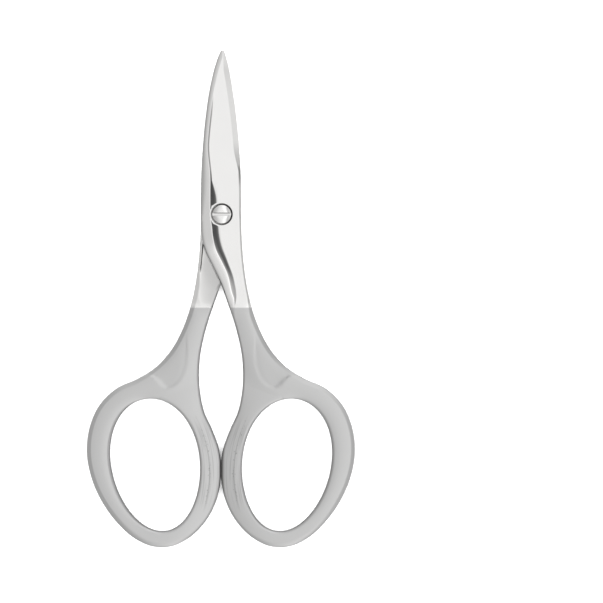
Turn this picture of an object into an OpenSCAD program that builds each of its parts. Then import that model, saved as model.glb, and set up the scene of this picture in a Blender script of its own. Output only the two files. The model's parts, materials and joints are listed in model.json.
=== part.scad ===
/* [Blades] */
// Distance from the pivot to the tip of the blades
blade_len = 31.3; // [27:0.1:36]
// Height that the curved tip rises above the joint plane
tip_rise = 2.95; // [2:0.05:3.6]
// Sideways lean of the tip
tip_lean = 0.33; // [0:0.01:0.5]
// Distance from the pivot to where the blade starts to narrow
belly_y = 3; // [2:0.1:5]
// Thickness of one blade near the tip
tip_t = 0.62; // [0.5:0.01:0.9]
// Width of the ground cutting bevel
bevel_w = 1.08; // [0.8:0.01:1.3]
// Thickness left at the cutting edge
edge_t = 0.06; // [0.05:0.01:0.1]
// Hollow of the inner face, as a share of the blade thickness
hollow = 0.15; // [0.08:0.01:0.2]

/* [Joint] */
// Width of the halves where they cross
joint_w = 7.7; // [7:0.1:9]
// Thickness of both halves together at the joint
joint_t = 4.24; // [3.8:0.02:4.8]
// Distance from the pivot to the crotch between the handles
crotch_y = 13.15; // [12:0.05:15]
// Distance from the pivot to the end of the half lap
lap_end = 17.5; // [16.5:0.1:19]
// Sideways offset of the blade midline from the pivot
mid_off = -0.17; // [-0.3:0.01:0.3]
// Gap between the two joint faces
lap_gap = 0.04; // [0.02:0.01:0.08]
// Height of the raised strip along the outer edge beside the lap
brow = 0.34; // [0.2:0.02:0.5]

/* [Spine rail] */
// Width of the rounded rail along the spine
rail_w = 1.8; // [1.4:0.05:2.1]
// Height of the rounding of the rail
rail_h = 1.25; // [0.9:0.05:1.4]
// Width of the rail on the blade
strip_w = 0.9; // [0.7:0.05:1.2]
// Width of the sloping facet between rail and ground face
facet_w = 1.25; // [0.8:0.05:1.4]
// Depth of the ground face below the rail crest
face_drop = 0.3; // [0.2:0.01:0.4]

/* [Handles] */
// Thickness of the handles and finger rings
ring_t = 4.08; // [3.7:0.02:4.5]
// Width of a finger opening
open_w = 17; // [15:0.1:18]
// Length of a finger opening
open_l = 25.6; // [23:0.1:27]
// Sideways distance from the midline to the middle of an opening
ring_x = 12.5; // [12.3:0.05:13.5]
// Distance from the pivot to the middle of an opening
ring_y = 48; // [46:0.1:50]
// Slant of a finger opening in degrees
ring_tilt = 8.8; // [4:0.2:12]
// Extra width of the upper half of an opening, as a share
egg = 0.074; // [0:0.01:0.1]
// Width of the ring on its outer side
rim_out = 4.45; // [3.8:0.05:4.8]
// Width of the ring on the side that meets the other ring
rim_in = 4; // [3.7:0.05:4.4]
// Width of the ring at its lower end
rim_end = 3; // [2.6:0.05:3.4]
// Forward bend of the lower end of the rings
ring_bend = 0.35; // [0:0.05:0.5]
// Gap between the rings where they stop against each other
stop_gap = 0.06; // [0.04:0.01:0.1]
// Depth of the hollow above each ring
pocket_d = 0.2; // [0.1:0.02:0.4]
// Rise of the shank's face from its edges to its middle
shank_crown = 0.16; // [0.08:0.02:0.24]
// Rise of the ring's face from its outer edge and the opening to its crest
ring_crown = 0.16; // [0.08:0.02:0.24]
// Rise of the ring's face from where the rings meet to the opening
ring_lean = 0.35; // [0.2:0.05:0.5]

/* [Pivot screw] */
// Diameter of the screw head
head_d = 3.6; // [3.2:0.05:4]
// Radial gap round the screw head
head_gap = 0.25; // [0.15:0.01:0.3]
// Depth of the counterbore below the ground face
seat_depth = 0.9; // [0.7:0.05:1]
// Height of the dome above the rail crest
dome_h = 0.3; // [0.2:0.02:0.4]
// Width of the screw slot
slot_w = 0.6; // [0.45:0.05:0.8]
// Depth of the screw slot
slot_depth = 0.55; // [0.4:0.05:0.7]
// Diameter of the smooth bearing neck
neck_d = 2.6; // [2.4:0.05:2.8]
// Diameter of the threaded end
thread_d = 2.1; // [1.9:0.05:2.2]
// Length of the threaded end beyond the rail of the rear half
end_out = 0.3; // [0.15:0.05:0.5]
// Radial running clearance of the neck
run_clear = 0.03; // [0.02:0.01:0.06]
// Radial clearance of the threaded end in its hole
thread_clear = 0.01; // [0.01:0.01:0.02]

/* [Hidden] */
$fn = 64;

half_t = joint_t / 2;
half_ring = ring_t / 2;
face_z = half_t - face_drop;
blade_stations = 21;
shank_steps = 3;
ring_steps = 4;
ring_sections = 10;
top_angle = 105;
sweep_step = 18;

// Roundings of the edges, width and fall: joint, inner edge of the handle, lower end, finger opening
round_w = 0.38;
round_h = 0.3;
handle_w = 0.45;
handle_h = 0.4;
end_w = 1.0;
end_h = 0.75;
lip_w = 0.5;
lip_h = 0.45;
// Fall of the rail's rounding once it has turned into the shank
shank_fall = 0.85;
// The flat chamfer on the outer edge of the handle, and the small rounding at its foot
chamfer_w = 0.8;
chamfer_h = 0.17;
chamfer_r = 0.12;
// Least width of a facet, and where the crest of the ring's crown lies from its outer edge to the opening
facet_min = 0.05;
crest = 0.6;

function smooth(a, b, x) = let (t = min(1, max(0, (x - a) / (b - a)))) t * t * (3 - 2 * t);
function ramp(a, b, x) = min(1, max(0, (x - a) / (b - a)));
function mix(a, b, t) = a + (b - a) * t;

// Smooth curve through points, each tangent weighted by its two chords
function chord(p, k) = norm(p[k + 1] - p[k]);
function slope(p, k) =
    k == 0 ? (p[1] - p[0]) / chord(p, 0)
    : k == len(p) - 1 ? (p[k] - p[k - 1]) / chord(p, k - 1)
    : let (a = chord(p, k - 1), b = chord(p, k))
      ((p[k + 1] - p[k]) / b * a + (p[k] - p[k - 1]) / a * b) / (a + b);
function on_span(p, k, t) =
    let (h = chord(p, k), t2 = t * t, t3 = t2 * t)
    p[k] * (2 * t3 - 3 * t2 + 1) + slope(p, k) * h * (t3 - 2 * t2 + t)
    + p[k + 1] * (3 * t2 - 2 * t3) + slope(p, k + 1) * h * (t3 - t2);

// Blade in plan: half width and midline shift at a distance y from the pivot
blade_tail = blade_len + 0.3;
taper_bow = 1.87;
taper_end = 0.7;
lean_y = 0.64 * blade_len;
function blade_w(y) = joint_w / 2 * pow(1 - pow(ramp(belly_y, blade_tail, y), taper_bow), taper_end);
function lean(y) = tip_lean * pow(ramp(lean_y, blade_len, y), 2);

// Blade in elevation: the joint plane bends up to the tip while the blade thins
curve_y = 0.16 * blade_len;
rise_bow = 1.9;
thin_bow = 1.35;
function curve_t(y) = ramp(curve_y, blade_len, y);
function mid_z(y) = tip_rise * pow(curve_t(y), rise_bow);
function thick(y) = mix(tip_t, half_t, pow(1 - curve_t(y), thin_bow));

// Finger opening, an egg-shaped closed curve, and the ring's width round it
ring_mid = [ring_x, -ring_y];
function turn(v, a) = [v[0] * cos(a) - v[1] * sin(a), v[0] * sin(a) + v[1] * cos(a)];
function hole_at(a) =
    ring_mid + turn([open_w / 2 * cos(a) * (1 + egg * sin(a)), open_l / 2 * sin(a)], -ring_tilt);
function hole_out(a) =
    let (d = hole_at(a + 0.5) - hole_at(a - 0.5)) [d[1], -d[0]] / norm(d);
function rim_at(a) =
    a < 100 ? mix(rim_end, rim_out, smooth(-55, 30, a)) - 0.35 * smooth(45, 75, a)
    : mix(rim_end, rim_in, smooth(260, 200, a)) - 0.55 * smooth(185, 150, a);
function rim_point(a) =
    hole_at(a) + rim_at(a) * hole_out(a);
function stopped(p) = [max(p[0], stop_gap / 2), p[1]];

// Sections of the shank from the joint to the crown of the ring: inner and outer edge
w0 = joint_w / 2;
cy = crotch_y;
open_top = ring_y - open_l / 2;
inner_edge = [
    [-w0, -1], [-w0 + 0.12, -4], [-w0 + 0.8, -0.52 * cy], [-w0 + 2.17, -0.74 * cy], [-0.06, -cy],
    [1.14, -cy - 3.35], [2.45, -cy - 7.2], [3.4, -6.25 - open_top / 2], [3.98, 8.4 - open_top],
    [4.23, 5.5 - open_top], [4.2, 2.8 - open_top], [3.95, 0.5 - open_top], [3.2, -2.8 - open_top]
];
outer_edge = [
    [w0, -1], [w0 + 0.07, -3.4], [w0 + 0.18, -0.45 * cy], [w0 + 0.4, -0.66 * cy],
    [w0 + 0.8, -0.91 * cy], [w0 + 1.45, -cy - 2.45], [w0 + 2.35, -cy - 5.85],
    [w0 + 3.5, -4.45 - open_top / 2], [ring_x - 3.7, 10.3 - open_top],
    [ring_x - 2, 7.9 - open_top], [ring_x + 0.1, 5.8 - open_top]
];
shank_spans = len(outer_edge) - 1;
inner_all = concat(
    inner_edge,
    [for (j = [3:ring_sections]) rim_point(top_angle + j * sweep_step)]
);
outer_all = concat(
    outer_edge,
    [for (j = [1:ring_sections]) rim_point(top_angle - j * sweep_step)]
);
middle_edge = [
    for (k = [0:shank_spans])
        k == 0 ? [0, -1]
        : k == shank_spans ? hole_at(top_angle)
        : k == shank_spans - 1 ? [ring_x - 3.9, 4.6 - open_top]
        : mix(inner_edge[k], outer_edge[k], 0.58)
];

// Widths of the rail, the cutting bevel and the facet beside the rail
function rail_here(y) =
    y > 0 ? min(mix(rail_w, strip_w, smooth(6, 14, y)), 1.24 * blade_w(y))
    : rail_w + 0.35 * smooth(0, -3, y) - 0.1 * smooth(-3.5, -7, y) - 0.6 * smooth(-10, -15, y);
function bevel_here(y) = min(max(bevel_w * smooth(5.3, 13, y), round_w), 0.72 * blade_w(y));
function facet_share(y) =
    y > 0 ? max(1.08 * smooth(8.8, 3, y), 0.16 * smooth(24, 18, y))
    : mix(1.08, 0.5, smooth(-6, -11, y)) * smooth(-lap_end + 0.3, -lap_end + 4, y);
function facet_here(y) = max(facet_min, facet_w * facet_share(y));

// Stations: inner edge, the middle as seen from each side, outer edge
function ridge_x(y) =
    smooth(2, 8, y) * (rail_here(y) + facet_here(y) - bevel_here(y)) / 2;
function blade_station(y) =
    let (w = blade_w(y), m = [ridge_x(y), y]) [[-w, y], m, m, [w, y]];
function blade_y(i) = mix(-1, blade_len, 1 - pow(i / blade_stations, 1.35));
blade_part = [for (i = [0:blade_stations - 1]) blade_station(blade_y(i))];
shank_part = [
    for (k = [0:shank_spans - 1]) for (j = [0:shank_steps - 1])
        let (t = j / shank_steps, m = on_span(middle_edge, k, t))
        [on_span(inner_all, k, t), m, m, on_span(outer_all, k, t)]
];
ring_part = [
    for (k = [0:ring_sections - 1]) for (j = [0:ring_steps - 1])
        let (t = j / ring_steps, a = (k + t) * sweep_step, s = k + shank_spans)
        [stopped(on_span(inner_all, s, t)), hole_at(top_angle + a), hole_at(top_angle - a),
         on_span(outer_all, s, t)]
];
last = ring_sections * sweep_step;
end_part = [[
    rim_point(top_angle + last), hole_at(top_angle + last),
    hole_at(top_angle + last), rim_point(top_angle + last)
]];
stations = concat(blade_part, shank_part, ring_part, end_part);
split = len(blade_part) + len(shank_part);
count = len(stations);

// How far a station is into the handle, into the ring and round to the ring's end
function handle(y) = ramp(-lap_end + 0.5, -lap_end - 1.5, y);
function in_ring(i) = smooth(split - 9, split, i);
function at_end(i) = smooth(count - 14, count - 1, i);

// Height of the rail's crest above the joint surface, and of the ground face and the cutting edge
function nose(y) = mix(0.45, 1, pow(ramp(blade_len, blade_len - 2, y), 0.6));
function base(y) =
    y > 0 ? thick(y) * nose(y) : mix(half_t, half_ring, smooth(-lap_end + 2.2, -lap_end, y));
function drop(y) = face_drop * min(1, facet_share(y));
function face(y) = base(y) - drop(y);
function edge_top(y) = max(edge_t + lap_gap / 2, (face(y) - round_h) * ramp(lean_y, 3, y));

// Rounding of the inner edge: the rail first, then the handle's and the lower end's
function inner_w(i, y) =
    y > 0 ? rail_here(y)
    : mix(mix(rail_here(y), handle_w, smooth(-lap_end + 2, -lap_end - 2, y)), end_w, at_end(i));
function shank_h(y) = mix(rail_h, shank_fall, smooth(-3, -7, y));
function inner_h(i, y) =
    y > 0 ? rail_h * min(1, base(y) / half_t)
    : mix(mix(shank_h(y), handle_h, smooth(-lap_end + 3, -lap_end - 1, y)), end_h, at_end(i));

// Rounding of the outer edge: the cutting bevel first, then a rounding that turns into the handle's chamfer
function chamfered(i, y) = smooth(-lap_end + 2, -lap_end - 3, y) * (1 - at_end(i));
function outer_w(i, y) =
    y > 0 ? bevel_here(y) : mix(mix(round_w, chamfer_w, chamfered(i, y)), end_w, at_end(i));
function outer_h(i, y) = y > 0 ? face(y) - edge_top(y) : mix(round_h, end_h, at_end(i));

// Columns of a rounding as distances from the edge and as falls, blended to a straight bevel or a chamfer
ROUND = [0, 22.5, 45, 67.5, 90];
COLS = len(ROUND) + 4;
EDGE = COLS - 1;
function corner(a) = min(2 * a, 90);
function cut_t(a) = max(a / 45 - 1, 0);
function across(w, a, bevel, cut) =
    mix(w * mix(1 - cos(a), a / 90, bevel),
        chamfer_r * (1 - cos(corner(a))) + (w - chamfer_r) * cut_t(a), cut);
function down(h, a, bevel, cut) =
    mix(h * mix(1 - sin(a), 1 - a / 90, bevel),
        chamfer_r * (1 - sin(corner(a))) + chamfer_h * (1 - cut_t(a)), cut);
function beveled(y) = smooth(-1.5, 1.5, y);

// Positions across one side: the rounding, the foot of the facet, the face and the opening's lip
function cuts(i, room, round_part, foot) =
    concat(round_part, [
        foot, mix(foot, room, 0.4), i >= split ? room - lip_w : mix(foot, room, 0.75), room
    ]);
function inner_cuts(i, y, room) =
    let (w = min(inner_w(i, y), 0.9 * room),
         f = mix(min(facet_here(y), 0.9 * (room - w)), 0.15 * (room - w), smooth(split - 12, split - 6, i)))
    cuts(i, room, [for (a = ROUND) across(w, a, 0, 0)], w + f);
function outer_cuts(i, y, room) =
    let (w = min(outer_w(i, y), 0.9 * room))
    cuts(i, room, [for (a = ROUND) across(w, a, beveled(y), chamfered(i, y))], mix(w, room, 0.15));

// Fall of the handle's face at a share t of the way from the edge to the middle or the opening
function band_fall(i, side, t) =
    side == 0 ? ring_lean * pow(1 - t, 2)
    : ring_crown * (pow(max(0, 1 - t / crest), 2)
                    + pow(max(0, (t - crest) / (1 - crest)), 2) * smooth(split, split + 6, i));
function shank_band(y, t) = shank_crown * pow(1 - t, 2) * smooth(-lap_end + 1.5, -lap_end - 3, y);
function crown(i, side, y, t) =
    y > 0 ? 0 : mix(shank_band(y, t), band_fall(i, side, t), in_ring(i)) * (1 - at_end(i));

// Fall of each column below the rail's crest
function lip(i, k) = k == EDGE && i >= split ? lip_h : 0;
function inner_fall(i, y, k) = k < len(ROUND) ? down(inner_h(i, y), ROUND[k], 0, 0) : drop(y);
function outer_fall(i, y, k) =
    drop(y) + (k < len(ROUND) ? down(outer_h(i, y), ROUND[k], beveled(y), chamfered(i, y)) : 0);
function back_h(i, side) = mix(side == 0 ? handle_h : chamfer_h + chamfer_r, end_h, at_end(i));
function back_fall(h, t) = h * (1 - sqrt(1 - pow(max(0, 1 - t), 2)));

// Inner face at a distance d from the outer edge: flat lap or hollow blade, then a curved run-out to
// the handle's full thickness, with a raised strip along the outer edge
brow_y = 0.82 * cy;
function lap_start(x) = min(-9, -cy - 0.5 + max(0, x - 0.5));
function run_out(x, y) =
    let (t = ramp(lap_start(x), -lap_end, y)) mix(pow(t, 1.45), smooth(0, 1, t), 0.5);
function channel(x, y) = mix(lap_gap / 2, -half_ring, run_out(x, y));
function strip(y) =
    mix(lap_gap / 2, -mix(brow, half_ring, pow(ramp(-brow_y, -lap_end, y), 1.2)),
        smooth(-0.4 * cy, -0.64 * cy, y));
function strip_end(y) = round_w + 2 * pow(ramp(-cy - 0.2, -lap_end - 0.3, y), 1.7);
function in_strip(y, d) = smooth(strip_end(y) + 0.4, strip_end(y), d);
function inner_face(x, y, d) =
    y > 0 ? lap_gap / 2 + hollow * base(y) * ramp(1, -0.6, x / blade_w(y)) * smooth(5, 11, y)
    : mix(channel(x, y), min(channel(x, y), strip(y)), in_strip(y, d));

// Shallow hollow above the ring, with a lip at the ring and open towards the outer edge
pocket_len = 8.7;
pocket_reach = [3.95, 6.6];
function pocket(p, d) =
    let (v = p - hole_at(top_angle), u = v + [1.66, -pocket_len],
         reach = norm([min(0, u[0]) / pocket_reach[0], min(0, u[1]) / pocket_reach[1]]),
         brink = mix(2.15, 4.4, smooth(-2.1, 1.5, v[0])))
    pocket_d * mix(1, 0.5, smooth(-5.5, 2, v[0])) * smooth(1.1, 0.8, reach)
    * smooth(brink, brink + 0.8, v[1]) * smooth(chamfer_w, chamfer_w + 0.4, d)
    * smooth(13.5, 9, v[1]);
function bend_up(y) = ring_bend * pow(ramp(-ring_y + 4, -ring_y - open_l / 2 - rim_end, y), 2);

function cut_point(a, b, d) = a + (b - a) * d / norm(b - a);
function point_pair(i, side, k, bend) =
    let (s = stations[i], a = side == 0 ? s[0] : s[3], b = side == 0 ? s[1] : s[2], y0 = b[1],
         room = norm(b - a),
         w = side == 0 ? inner_w(i, y0) : outer_w(i, y0),
         d = (side == 0 ? inner_cuts(i, y0, room) : outer_cuts(i, y0, room))[k],
         p = cut_point(a, b, d), y = p[1],
         edge = side == 0 ? room : d,
         bow = crown(i, side, y0, d / room),
         fall = side == 0 ? inner_fall(i, y0, k) : outer_fall(i, y0, k),
         high = base(y0) - fall - bow - lip(i, k) - pocket(p, edge),
         low = inner_face(p[0], y, edge) + (back_fall(back_h(i, side), d / w) + bow) * handle(y)
               + lip(i, k) + pocket(p, edge),
         rise = bend * (y > 0 ? mid_z(y) : bend_up(y)), shift = bend * lean(y))
    [[p[0] + shift, y, high + rise], [p[0] + shift, y, low + rise]];

// Each station has a top and a bottom row, with the columns of one side after the other
function table(bend) = [
    for (i = [0:count - 1]) for (side = [0, 1]) for (k = [0:EDGE])
        each point_pair(i, side, k, bend)
];
function id(i, side, k, low) =
    let (s = (side == 1 && (i == count - 1 || (k == EDGE && i <= split))) ? 0 : side)
    ((i * 2 + s) * COLS + k) * 2 + low;
function patch(a, b, c, d) = [[a, b, c], [a, c, d]];
function skin(i, side, k) =
    let (l = side == 0 ? k : k + 1, r = side == 0 ? k + 1 : k)
    concat(
        patch(id(i, side, l, 0), id(i, side, r, 0), id(i + 1, side, r, 0), id(i + 1, side, l, 0)),
        patch(id(i, side, r, 1), id(i, side, l, 1), id(i + 1, side, l, 1), id(i + 1, side, r, 1))
    );
function wall(i, side, k) =
    let (a = id(i, side, k, 0), b = id(i + 1, side, k, 0), c = id(i + 1, side, k, 1), d = id(i, side, k, 1))
    (side == 0) == (k == 0) ? patch(a, b, c, d) : patch(b, a, d, c);
function tip_cap(side, k) =
    let (l = side == 0 ? k : k + 1, r = side == 0 ? k + 1 : k)
    patch(id(0, side, r, 0), id(0, side, l, 0), id(0, side, l, 1), id(0, side, r, 1));
half_faces = concat(
    [for (i = [0:count - 2]) for (side = [0, 1]) for (k = [0:EDGE - 1]) each skin(i, side, k)],
    [for (i = [0:count - 2]) for (side = [0, 1]) each wall(i, side, 0)],
    [for (i = [split:count - 2]) for (side = [0, 1]) each wall(i, side, EDGE)],
    [for (side = [0, 1]) for (k = [0:EDGE - 1]) each tip_cap(side, k)]
);
module half_blank(bend) {
    polyhedron(points = table(bend), faces = half_faces, convexity = 12);
}

// Place of the whole part: middle of its outline over the origin, lowest point on the floor
ring_low = min([for (s = stations) min(s[0][1], s[3][1])]);
shift_x = -mid_off;
shift_y = -(blade_len + ring_low) / 2;
floor_z = half_t + end_out;
module place() { translate([shift_x, shift_y, floor_z]) children(); }
module bore(d, z0, z1) { translate([0, 0, z0]) cylinder(d = d, h = z1 - z0); }

seat_z = face_z - seat_depth;
counter_d = head_d + 2 * head_gap;
shoulder_z = -lap_gap / 2;
spot_w = 0.275;
spot_d = counter_d + 2 * spot_w;
spot_depth = 0.03;
brim_z = face_z + 0.1;
dome_bow = 2.6;
dome_steps = 5;
tail_chamfer = 0.2;

module front_half() {
    color("gainsboro") place() difference() {
        translate([mid_off, 0, 0]) half_blank(1);
        bore(neck_d + 2 * run_clear, -1, half_t);
        bore(counter_d, seat_z, half_t + 1);
        bore(spot_d, face_z - spot_depth, half_t + 1);
    }
}
module rear_half() {
    color("silver") place() difference() {
        translate([mid_off, 0, 0]) rotate([0, 180, 0]) half_blank(-1);
        bore(thread_d + 2 * thread_clear, -half_t - 1, 1);
    }
}
module screw_profile() {
    r = head_d / 2;
    rise = half_t + dome_h - brim_z;
    low = seat_z + run_clear;
    tail = -half_t - end_out;
    rotate_extrude() polygon(concat(
        [
            [0, tail], [thread_d / 2 - tail_chamfer, tail], [thread_d / 2, tail + tail_chamfer],
            [thread_d / 2, shoulder_z], [neck_d / 2, shoulder_z], [neck_d / 2, low], [r, low]
        ],
        [
            for (j = [dome_steps:-1:0])
                [r * j / dome_steps, brim_z + rise * (1 - pow(j / dome_steps, dome_bow))]
        ]
    ));
}
module pivot_screw() {
    color("lightgray") place() difference() {
        screw_profile();
        translate([-head_d, -slot_w / 2, half_t + dome_h - slot_depth])
            cube([2 * head_d, slot_w, slot_depth + 1]);
    }
}

front_half();
rear_half();
pivot_screw();
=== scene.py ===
"""Cuticle scissors: two forged steel halves with finger rings on one slotted pivot screw, seen from above."""
import json
import math

import bmesh
import bpy
import numpy as np
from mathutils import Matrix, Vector


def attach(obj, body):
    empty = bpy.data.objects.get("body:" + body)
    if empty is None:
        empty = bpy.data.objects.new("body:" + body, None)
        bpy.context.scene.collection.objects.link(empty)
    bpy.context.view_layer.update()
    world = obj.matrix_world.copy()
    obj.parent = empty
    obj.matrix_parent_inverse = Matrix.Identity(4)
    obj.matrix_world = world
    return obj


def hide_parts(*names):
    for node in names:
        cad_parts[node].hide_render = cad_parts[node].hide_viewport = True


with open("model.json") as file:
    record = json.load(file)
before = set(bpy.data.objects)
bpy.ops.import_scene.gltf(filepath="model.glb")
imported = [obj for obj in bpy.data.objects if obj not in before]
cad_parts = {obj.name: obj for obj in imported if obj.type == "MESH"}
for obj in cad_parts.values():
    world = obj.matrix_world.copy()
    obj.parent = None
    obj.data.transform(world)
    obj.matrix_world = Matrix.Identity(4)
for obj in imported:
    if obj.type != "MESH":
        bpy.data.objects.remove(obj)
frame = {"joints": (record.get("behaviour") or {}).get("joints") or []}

bl_info = {
    "name": "Cuticle Scissors",
    "version": (1, 0, 0),
    "blender": (4, 5, 0),
    "location": "View3D > Sidebar > Scissors",
    "description": "Makes a pair of cuticle scissors, its pivot screw and a plain studio",
    "category": "Add Mesh",
}

MM = 0.001
PIVOT = Vector(frame["joints"][0]["pos_m"])
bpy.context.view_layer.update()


def length(name, description, mm, **limits):
    """A length that a user can change, with its default given in millimetres."""
    return bpy.props.FloatProperty(
        name=name, description=description, default=mm * MM, unit="LENGTH", precision=5, **limits)


def share(name, description, default):
    """A plain share from 0 to 1."""
    return bpy.props.FloatProperty(
        name=name, description=description, default=default, min=0, max=1, subtype="FACTOR")


def colour(name, description, default):
    return bpy.props.FloatVectorProperty(
        name=name, description=description, default=default, min=0, max=1, subtype="COLOR")


class BladeSizes(bpy.types.PropertyGroup):
    """Sizes of the two curved blades."""
    blade_len: length("Blade length", "Distance from the pivot to the tip", 31.3)
    tail_len: length("Taper length", "Distance from the pivot to where the taper would reach a point", 31.6)
    tip_rise: length("Tip rise", "Height that the tip rises above the joint plane", 2.95)
    tip_lean: length("Tip lean", "Sideways lean of the tip", 0.33)
    belly_y: length("Belly", "Distance from the pivot to where the blade starts to narrow", 3)
    tip_t: length("Tip thickness", "Thickness of one blade near the tip", 0.62)
    bevel_w: length("Bevel width", "Width of the ground cutting bevel", 1.08)
    edge_t: length("Edge thickness", "Thickness left at the cutting edge", 0.06)
    hollow: share("Hollow", "Hollow of the inner face, as a share of the blade's thickness", 0.15)


class JointSizes(bpy.types.PropertyGroup):
    """Sizes of the crossing, the half lap and the rail along the spine."""
    joint_w: length("Joint width", "Width of the halves where they cross", 7.7)
    joint_t: length("Joint thickness", "Thickness of both halves together at the joint", 4.24)
    crotch_y: length("Crotch", "Distance from the pivot to the crotch between the handles", 13.15)
    lap_end: length("Lap end", "Distance from the pivot to the end of the half lap", 17.5)
    lap_gap: length("Lap gap", "Gap between the two joint faces", 0.04)
    shoulder: share("Shoulder slope", "Slope of the shoulder beside the half lap", 0.18)
    brow: length("Brow height", "Height of the raised strip beside the lap", 0.34)
    rail_w: length("Rail width", "Width of the rounded rail along the spine", 1.8)
    rail_h: length("Rail height", "Height of the rounding of the rail", 1.25)
    strip_w: length("Strip width", "Width of the rail on the blade", 0.9)
    facet_w: length("Facet width", "Width of the sloping facet beside the rail", 1.25)
    face_drop: length("Face drop", "Depth of the ground face below the rail's crest", 0.3)


class HandleSizes(bpy.types.PropertyGroup):
    """Sizes of the shanks and the finger rings."""
    ring_t: length("Ring thickness", "Thickness of the handles and finger rings", 4.08)
    open_w: length("Opening width", "Width of a finger opening", 17)
    open_l: length("Opening length", "Length of a finger opening", 25.6)
    ring_x: length("Ring spread", "Sideways distance from the midline to the middle of an opening", 12.5)
    ring_y: length("Ring distance", "Distance from the pivot to the middle of an opening", 48)
    ring_tilt: bpy.props.FloatProperty(
        name="Ring slant", description="Slant of a finger opening", default=math.radians(8.8),
        unit="ROTATION")
    egg: share("Egg shape", "Extra width of the upper half of an opening, as a share", 0.074)
    rim_out: length("Outer rim", "Width of the ring on its outer side", 4.45)
    rim_in: length("Inner rim", "Width of the ring on the side that meets the other ring", 4)
    rim_end: length("Lower rim", "Width of the ring at its lower end", 3)
    ring_bend: length("Ring bend", "Forward bend of the lower end of the rings", 0.35)
    shank_crown: length("Shank crown", "Rise of the shank's face from its edges to its middle", 0.16)
    ring_crown: length("Ring crown", "Rise of the ring's face from both its edges to its crest", 0.16)
    ring_lean: length("Ring lean", "Rise of the ring's face from where the rings meet to the opening", 0.35)
    stop_gap: length("Stop gap", "Gap between the rings where they stop against each other", 0.06)
    lip_w: length("Lip width", "Width of the rounding along the finger opening", 0.5)
    lip_fall: length("Lip height", "Height of the rounding along the finger opening", 0.45)
    pocket_d: length("Pocket depth", "Depth of the hollow above each ring", 0.17)


class ScrewSizes(bpy.types.PropertyGroup):
    """Sizes of the slotted pivot screw and of its seat."""
    head_d: length("Head diameter", "Diameter of the screw head", 3.6)
    head_gap: length("Head gap", "Radial gap round the screw head", 0.25)
    seat_depth: length("Seat depth", "Depth of the counterbore below the ground face", 0.9)
    spot_w: length("Spot face width", "Width of the bright spot-faced ring round the counterbore", 0.275)
    dome_h: length("Dome height", "Height of the dome above the rail's crest", 0.3)
    slot_w: length("Slot width", "Width of the screw slot", 0.6)
    slot_depth: length("Slot depth", "Depth of the screw slot", 0.55)
    neck_d: length("Neck diameter", "Diameter of the smooth bearing neck", 2.6)
    thread_d: length("Thread diameter", "Diameter of the threaded end", 2.1)
    pitch: length("Thread pitch", "Distance from one turn of the thread to the next", 0.4)
    groove: length("Thread depth", "Depth of the thread's groove", 0.14)
    end_out: length("Screw end", "Length of the threaded end beyond the rail of the rear half", 0.3)
    run_clear: length("Running clearance", "Radial clearance of the neck", 0.03)
    fillet: length("Screw rounding", "Rounding of the screw's turned corners", 0.08)


# Small sizes of the grinding and the turning, in millimetres.
# Roundings, width and height: edges of the joint, inner edge of the handle, lower end of the ring
ROUND_W, ROUND_H = 0.38, 0.3
HANDLE_W, HANDLE_H = 0.45, 0.4
END_W, END_H = 1.0, 0.75
# The flat chamfer on the outer edge of the handle, and the small rounding at its foot
CHAMFER_W, CHAMFER_H, CHAMFER_ROUND = 0.8, 0.17, 0.12
# Clearance between the shoulder of one half and the outline of the other
LAP_CLEAR = 0.06
# How far below the lap the polish ends, and half the length over which it turns to satin
SATIN_PAST, SATIN_BLUR = 0.38, 0.12
# A distance that counts as far from a painted shade line, and the least width of a facet
FAR, FACET_LEAST = 5.0, 0.02
# Depth of the spot face, broken edge of the counterbore, clearance of the thread in its hole
SPOT_DEPTH, EDGE_BREAK, THREAD_CLEAR = 0.03, 0.06, 0.01
# The screw: height of the head's brim over the ground face, chamfer at its end, run-out of its thread
BRIM_UP, END_CHAMFER, RUN_OUT = 0.1, 0.2, 0.3
# Points round a turned shape, and the distance between points along the screw's profile
TURN_STEPS, PROFILE_STEP = 96, 0.035
# Distances within which points are merged, on a half and on the screw
WELD, SCREW_WELD = 1e-4, 5e-4


def smooth(low, high, x):
    """0 at low and 1 at high, level at both."""
    t = np.clip((x - low) / (high - low), 0, 1)
    return t * t * (3 - 2 * t)


def ramp(low, high, x):
    """0 at low and 1 at high, straight in between."""
    return np.clip((x - low) / (high - low), 0, 1)


def mix(a, b, t):
    """The first value where t is 0 and the second where it is 1."""
    return a + (b - a) * t


def round_fall(t):
    """Fall of a quarter round, as a share of its height, from 0 where t is 0 to 1 where it is 1."""
    return 1 - np.sqrt(1 - t ** 2)


def row(*values):
    """One value for each column of points, as an array that spreads over the stations."""
    return np.array([values], float)


class Millimetres:
    """The values of some property groups by name, with their lengths in millimetres."""

    def __init__(self, *groups):
        for group in groups:
            for prop in group.bl_rna.properties:
                if prop.identifier not in ("rna_type", "name"):
                    value = getattr(group, prop.identifier)
                    is_length = getattr(prop, "unit", "NONE") == "LENGTH"
                    setattr(self, prop.identifier, value / MM if is_length else value)


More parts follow.
